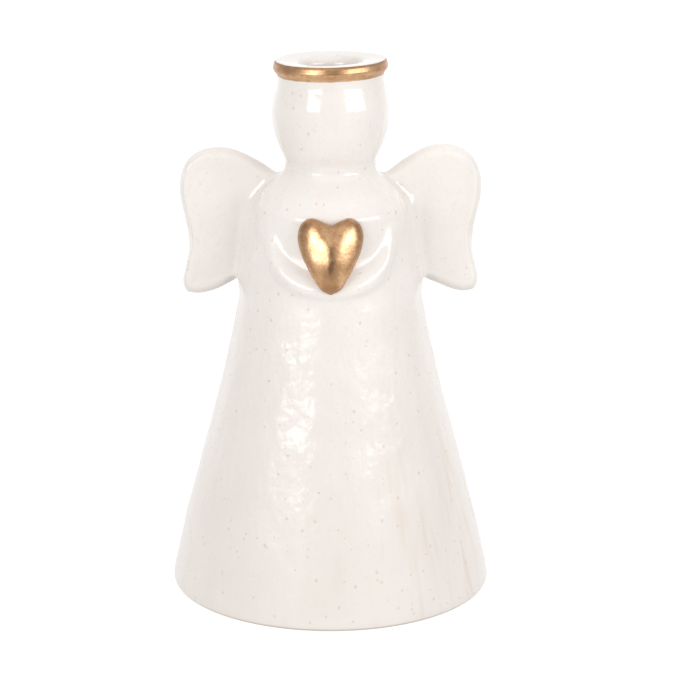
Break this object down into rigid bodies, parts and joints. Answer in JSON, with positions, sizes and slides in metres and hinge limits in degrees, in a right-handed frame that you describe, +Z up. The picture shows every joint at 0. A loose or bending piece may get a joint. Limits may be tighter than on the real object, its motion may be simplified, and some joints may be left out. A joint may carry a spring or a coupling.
{
  "type": "angel candle holder",
  "caption": "Glazed stoneware holder for a taper candle, shaped as a standing angel with a bell skirt, flat wings, a gilded lip around the socket and a gilded heart.",
  "frame": {"origin": "centre of the foot ring, on the surface that the figure stands on", "axes": "+Z up through the candle socket, -Y the way the figure faces, +X towards its wing on the right of the picture"},
  "size_m": [0.1268, 0.1268, 0.21],
  "materials": {
    "cream_glaze": "gloss"
  },
  "bodies": {
    "root": {"angel_casting": "cream_glaze"}
  },
  "joints": []
}
